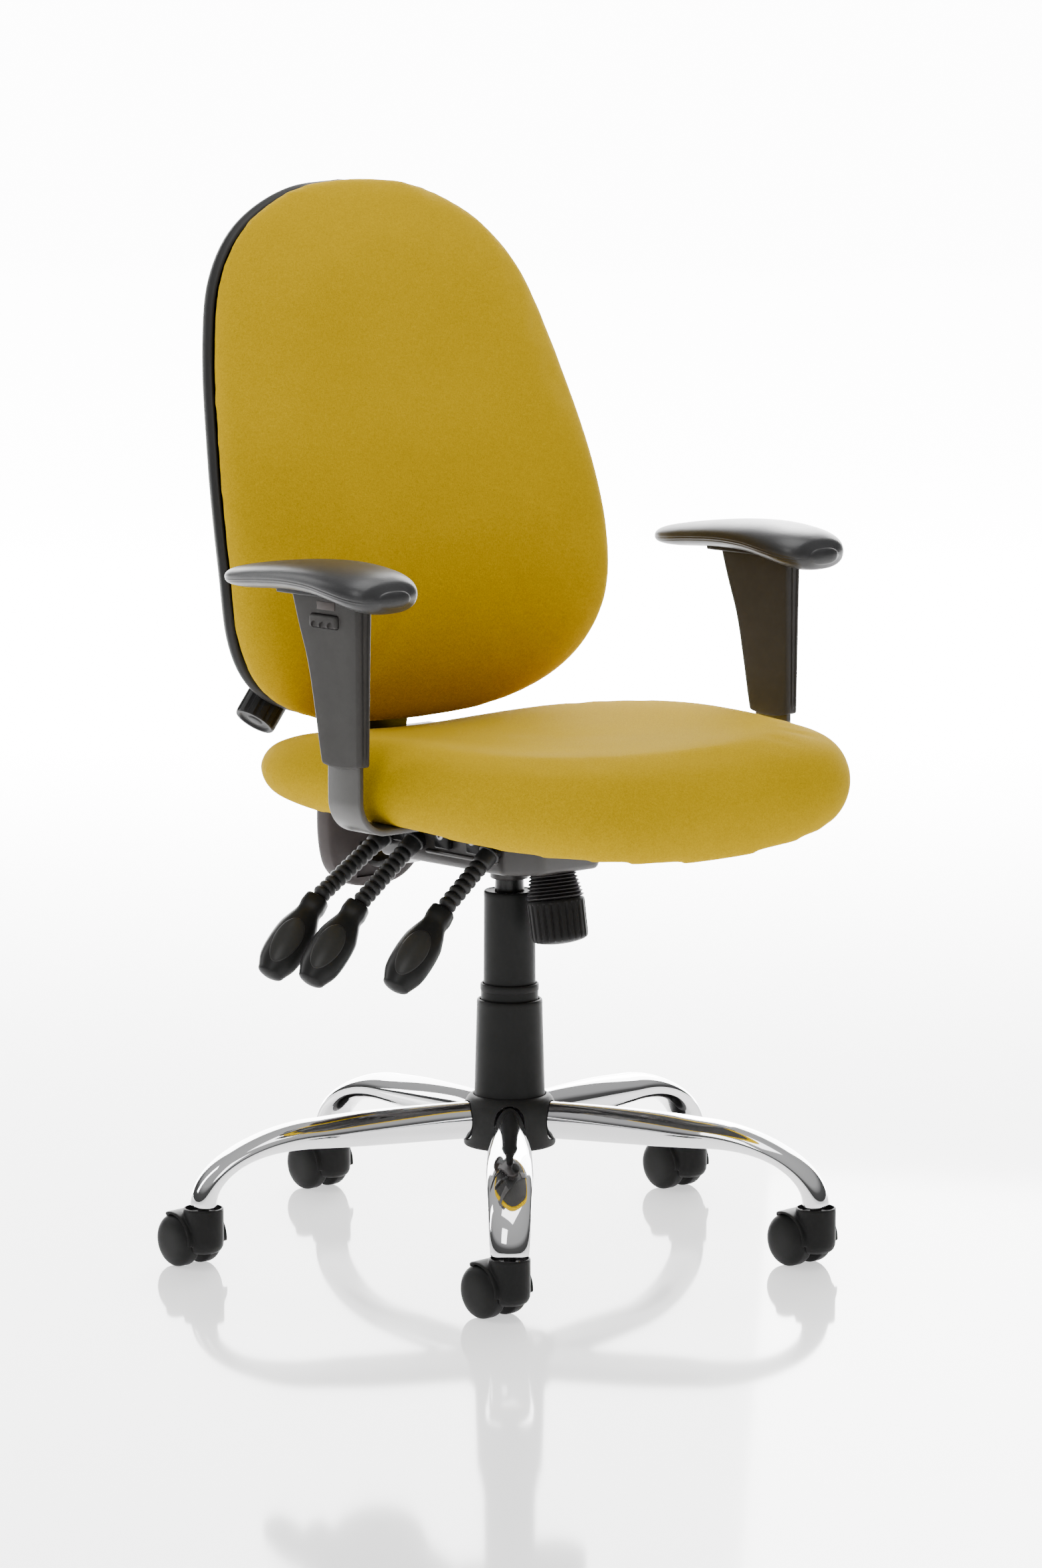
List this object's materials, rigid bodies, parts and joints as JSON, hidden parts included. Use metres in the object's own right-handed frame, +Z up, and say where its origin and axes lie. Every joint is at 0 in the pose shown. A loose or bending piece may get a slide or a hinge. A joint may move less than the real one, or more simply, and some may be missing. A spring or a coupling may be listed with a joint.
{
  "type": "office swivel chair",
  "caption": "Upholstered high-back office swivel chair on a five-leg castor base, with a gas lift, a lever mechanism and height-adjustable arms.",
  "frame": {"origin": "on the floor, at the centre of the chair's footprint", "axes": "+Z up; the chair faces -Y; +X is the sitter's left"},
  "size_m": [0.6357, 0.6493, 1.011],
  "materials": {
    "chrome": "polished",
    "steel": "satin",
    "painted_steel": "satin",
    "black_plastic": "satin",
    "dark_grey_plastic": "satin",
    "castor_plastic": "matte",
    "rubber": "matte",
    "arm_pad": "satin",
    "acetal": "satin",
    "yellow_fabric": "matte",
    "plywood": "matte"
  },
  "bodies": {
    "base": {"hub_core": "steel", "leg_1": "chrome", "leg_2": "chrome", "leg_3": "chrome", "leg_4": "chrome", "leg_5": "chrome", "hub_cover": "black_plastic", "stand_tube": "steel", "guide_bush": "acetal", "cover_lower": "black_plastic"},
    "middle_cover": {"cover_middle": "black_plastic"},
    "piston": {"piston_rod": "chrome", "thrust_bearing": "steel"},
    "mechanism": {"lift_cylinder": "steel", "cover_upper": "black_plastic", "mech_housing": "painted_steel", "seat_tilt_pin": "steel", "recline_pin": "steel", "tension_bolt": "steel"},
    "release_valve": {"release_pin": "steel"},
    "height_lever": {"height_lever": "rubber", "height_lever_handle": "black_plastic"},
    "tilt_lever": {"tilt_lever": "rubber", "tilt_lever_handle": "black_plastic"},
    "back_lever": {"back_lever": "rubber", "back_lever_handle": "black_plastic"},
    "tension_slider": {"tension_spring": "steel", "tension_bellows": "rubber"},
    "tension_knob": {"tension_knob": "black_plastic"},
    "seat": {"seat_plate": "painted_steel", "seat_board": "plywood", "seat_cushion": "yellow_fabric", "right_arm_bracket": "painted_steel", "left_arm_bracket": "painted_steel"},
    "right_arm": {"right_arm_post": "dark_grey_plastic", "right_arm_pad": "arm_pad"},
    "right_arm_button": {"right_arm_button": "dark_grey_plastic"},
    "left_arm": {"left_arm_post": "dark_grey_plastic", "left_arm_pad": "arm_pad"},
    "left_arm_button": {"left_arm_button": "dark_grey_plastic"},
    "back_carrier": {"back_bar": "steel", "spine_cover": "dark_grey_plastic"},
    "backrest": {"back_cushion": "yellow_fabric", "back_shell": "black_plastic"},
    "lumbar_knob": {"lumbar_knob": "black_plastic"},
    "castor_1": {"castor_1_hood": "black_plastic"},
    "castor_1_right_wheel": {"castor_1_wheel_right": "castor_plastic"},
    "castor_1_left_wheel": {"castor_1_wheel_left": "castor_plastic"},
    "castor_2": {"castor_2_hood": "black_plastic"},
    "castor_2_right_wheel": {"castor_2_wheel_right": "castor_plastic"},
    "castor_2_left_wheel": {"castor_2_wheel_left": "castor_plastic"},
    "castor_3": {"castor_3_hood": "black_plastic"},
    "castor_3_right_wheel": {"castor_3_wheel_right": "castor_plastic"},
    "castor_3_left_wheel": {"castor_3_wheel_left": "castor_plastic"},
    "castor_4": {"castor_4_hood": "black_plastic"},
    "castor_4_right_wheel": {"castor_4_wheel_right": "castor_plastic"},
    "castor_4_left_wheel": {"castor_4_wheel_left": "castor_plastic"},
    "castor_5": {"castor_5_hood": "black_plastic"},
    "castor_5_right_wheel": {"castor_5_wheel_right": "castor_plastic"},
    "castor_5_left_wheel": {"castor_5_wheel_left": "castor_plastic"}
  },
  "joints": [
    {"name": "seat_swivel", "type": "hinge", "parent": "base", "child": "piston", "pos_m": [-0.0034, -0.0232, 0.1035], "axis": [0, 0, 1], "continuous": true},
    {"name": "gas_lift", "type": "slide", "parent": "piston", "child": "mechanism", "axis": [0, 0, 1], "range_m": [-0.045, 0.075]},
    {"name": "middle_cover_slide", "type": "slide", "parent": "base", "child": "middle_cover", "axis": [0, 0, 1], "range_m": [-0.0226, 0.0376]},
    {"name": "height_lever_lift", "type": "hinge", "parent": "mechanism", "child": "height_lever", "pos_m": [-0.072, -0.0722, 0.393], "axis": [0, 1, 0], "range_deg": [0, 5], "stiffness_Nm_per_rad": 2, "springref_deg": -6.88},
    {"name": "release_pin_push", "type": "slide", "parent": "mechanism", "child": "release_valve", "axis": [0, 0, -1], "range_m": [0, 0.006]},
    {"name": "tilt_lever_lift", "type": "hinge", "parent": "mechanism", "child": "tilt_lever", "pos_m": [-0.072, 0.0348, 0.393], "axis": [0, 1, 0], "range_deg": [0, 10]},
    {"name": "back_lever_lift", "type": "hinge", "parent": "mechanism", "child": "back_lever", "pos_m": [-0.072, 0.0798, 0.393], "axis": [0, 1, 0], "range_deg": [0, 10]},
    {"name": "tension_slide", "type": "slide", "parent": "mechanism", "child": "tension_slider", "axis": [0, -0.1736, -0.9848], "range_m": [-0.0061, 0.0061], "deforming": ["tension_spring", "tension_bellows"]},
    {"name": "tension_knob_turn", "type": "hinge", "parent": "tension_slider", "child": "tension_knob", "pos_m": [-0.0034, -0.0832, 0.371], "axis": [0, -0.1736, -0.9848], "range_deg": [-1080, 1080]},
    {"name": "seat_tilt", "type": "hinge", "parent": "mechanism", "child": "seat", "pos_m": [-0.0034, -0.0532, 0.4235], "axis": [1, 0, 0], "range_deg": [-4, 0]},
    {"name": "back_recline", "type": "hinge", "parent": "mechanism", "child": "back_carrier", "pos_m": [-0.0034, 0.0488, 0.3845], "axis": [1, 0, 0], "range_deg": [-12, 0]},
    {"name": "back_height", "type": "slide", "parent": "back_carrier", "child": "backrest", "axis": [0, -0.1375, 0.9905], "range_m": [0, 0.05]},
    {"name": "lumbar_knob_turn", "type": "hinge", "parent": "backrest", "child": "lumbar_knob", "pos_m": [-0.1454, 0.1623, 0.524], "axis": [-0.6225, 0, -0.7826], "range_deg": [-360, 360]},
    {"name": "right_arm_height", "type": "slide", "parent": "seat", "child": "right_arm", "axis": [0, 0, 1], "range_m": [0, 0.07]},
    {"name": "right_arm_button_press", "type": "slide", "parent": "right_arm", "child": "right_arm_button", "axis": [1, 0, 0], "range_m": [0, 0.003], "stiffness_N_per_m": 1500, "springref_m": -0.002},
    {"name": "left_arm_height", "type": "slide", "parent": "seat", "child": "left_arm", "axis": [0, 0, 1], "range_m": [0, 0.07]},
    {"name": "left_arm_button_press", "type": "slide", "parent": "left_arm", "child": "left_arm_button", "axis": [-1, 0, 0], "range_m": [0, 0.003], "stiffness_N_per_m": 1500, "springref_m": -0.002},
    {"name": "castor_1_swivel", "type": "hinge", "parent": "base", "child": "castor_1", "pos_m": [-0.20575, -0.24873, 0], "axis": [0, 0, 1], "continuous": true},
    {"name": "castor_1_right_roll", "type": "hinge", "parent": "castor_1", "child": "castor_1_right_wheel", "pos_m": [-0.20575, -0.22773, 0.025], "axis": [1, 0, 0], "continuous": true},
    {"name": "castor_1_left_roll", "type": "hinge", "parent": "castor_1", "child": "castor_1_left_wheel", "pos_m": [-0.20575, -0.22773, 0.025], "axis": [1, 0, 0], "continuous": true},
    {"name": "castor_2_swivel", "type": "hinge", "parent": "base", "child": "castor_2", "pos_m": [0.14856, -0.28534, 0], "axis": [0, 0, 1], "continuous": true},
    {"name": "castor_2_right_roll", "type": "hinge", "parent": "castor_2", "child": "castor_2_right_wheel", "pos_m": [0.14856, -0.26434, 0.025], "axis": [1, 0, 0], "continuous": true},
    {"name": "castor_2_left_roll", "type": "hinge", "parent": "castor_2", "child": "castor_2_left_wheel", "pos_m": [0.14856, -0.26434, 0.025], "axis": [1, 0, 0], "continuous": true},
    {"name": "castor_3_swivel", "type": "hinge", "parent": "base", "child": "castor_3", "pos_m": [0.29287, 0.04031, 0], "axis": [0, 0, 1], "continuous": true},
    {"name": "castor_3_right_roll", "type": "hinge", "parent": "castor_3", "child": "castor_3_right_wheel", "pos_m": [0.29287, 0.06131, 0.025], "axis": [1, 0, 0], "continuous": true},
    {"name": "castor_3_left_roll", "type": "hinge", "parent": "castor_3", "child": "castor_3_left_wheel", "pos_m": [0.29287, 0.06131, 0.025], "axis": [1, 0, 0], "continuous": true},
    {"name": "castor_4_swivel", "type": "hinge", "parent": "base", "child": "castor_4", "pos_m": [0.02775, 0.2782, 0], "axis": [0, 0, 1], "continuous": true},
    {"name": "castor_4_right_roll", "type": "hinge", "parent": "castor_4", "child": "castor_4_right_wheel", "pos_m": [0.02775, 0.29919, 0.025], "axis": [1, 0, 0], "continuous": true},
    {"name": "castor_4_left_roll", "type": "hinge", "parent": "castor_4", "child": "castor_4_left_wheel", "pos_m": [0.02775, 0.29919, 0.025], "axis": [1, 0, 0], "continuous": true},
    {"name": "castor_5_swivel", "type": "hinge", "parent": "base", "child": "castor_5", "pos_m": [-0.28042, 0.09956, 0], "axis": [0, 0, 1], "continuous": true},
    {"name": "castor_5_right_roll", "type": "hinge", "parent": "castor_5", "child": "castor_5_right_wheel", "pos_m": [-0.28042, 0.12056, 0.025], "axis": [1, 0, 0], "continuous": true},
    {"name": "castor_5_left_roll", "type": "hinge", "parent": "castor_5", "child": "castor_5_left_wheel", "pos_m": [-0.28042, 0.12056, 0.025], "axis": [1, 0, 0], "continuous": true}
  ],
  "couplings": [
    {"joint": "middle_cover_slide", "follows": "gas_lift", "ratio": 0.5},
    {"joint": "release_pin_push", "follows": "height_lever_lift", "m_per_rad": 0.0676},
    {"joint": "tension_slide", "follows": "tension_knob_turn", "m_per_rad": 0.0003183}
  ]
}
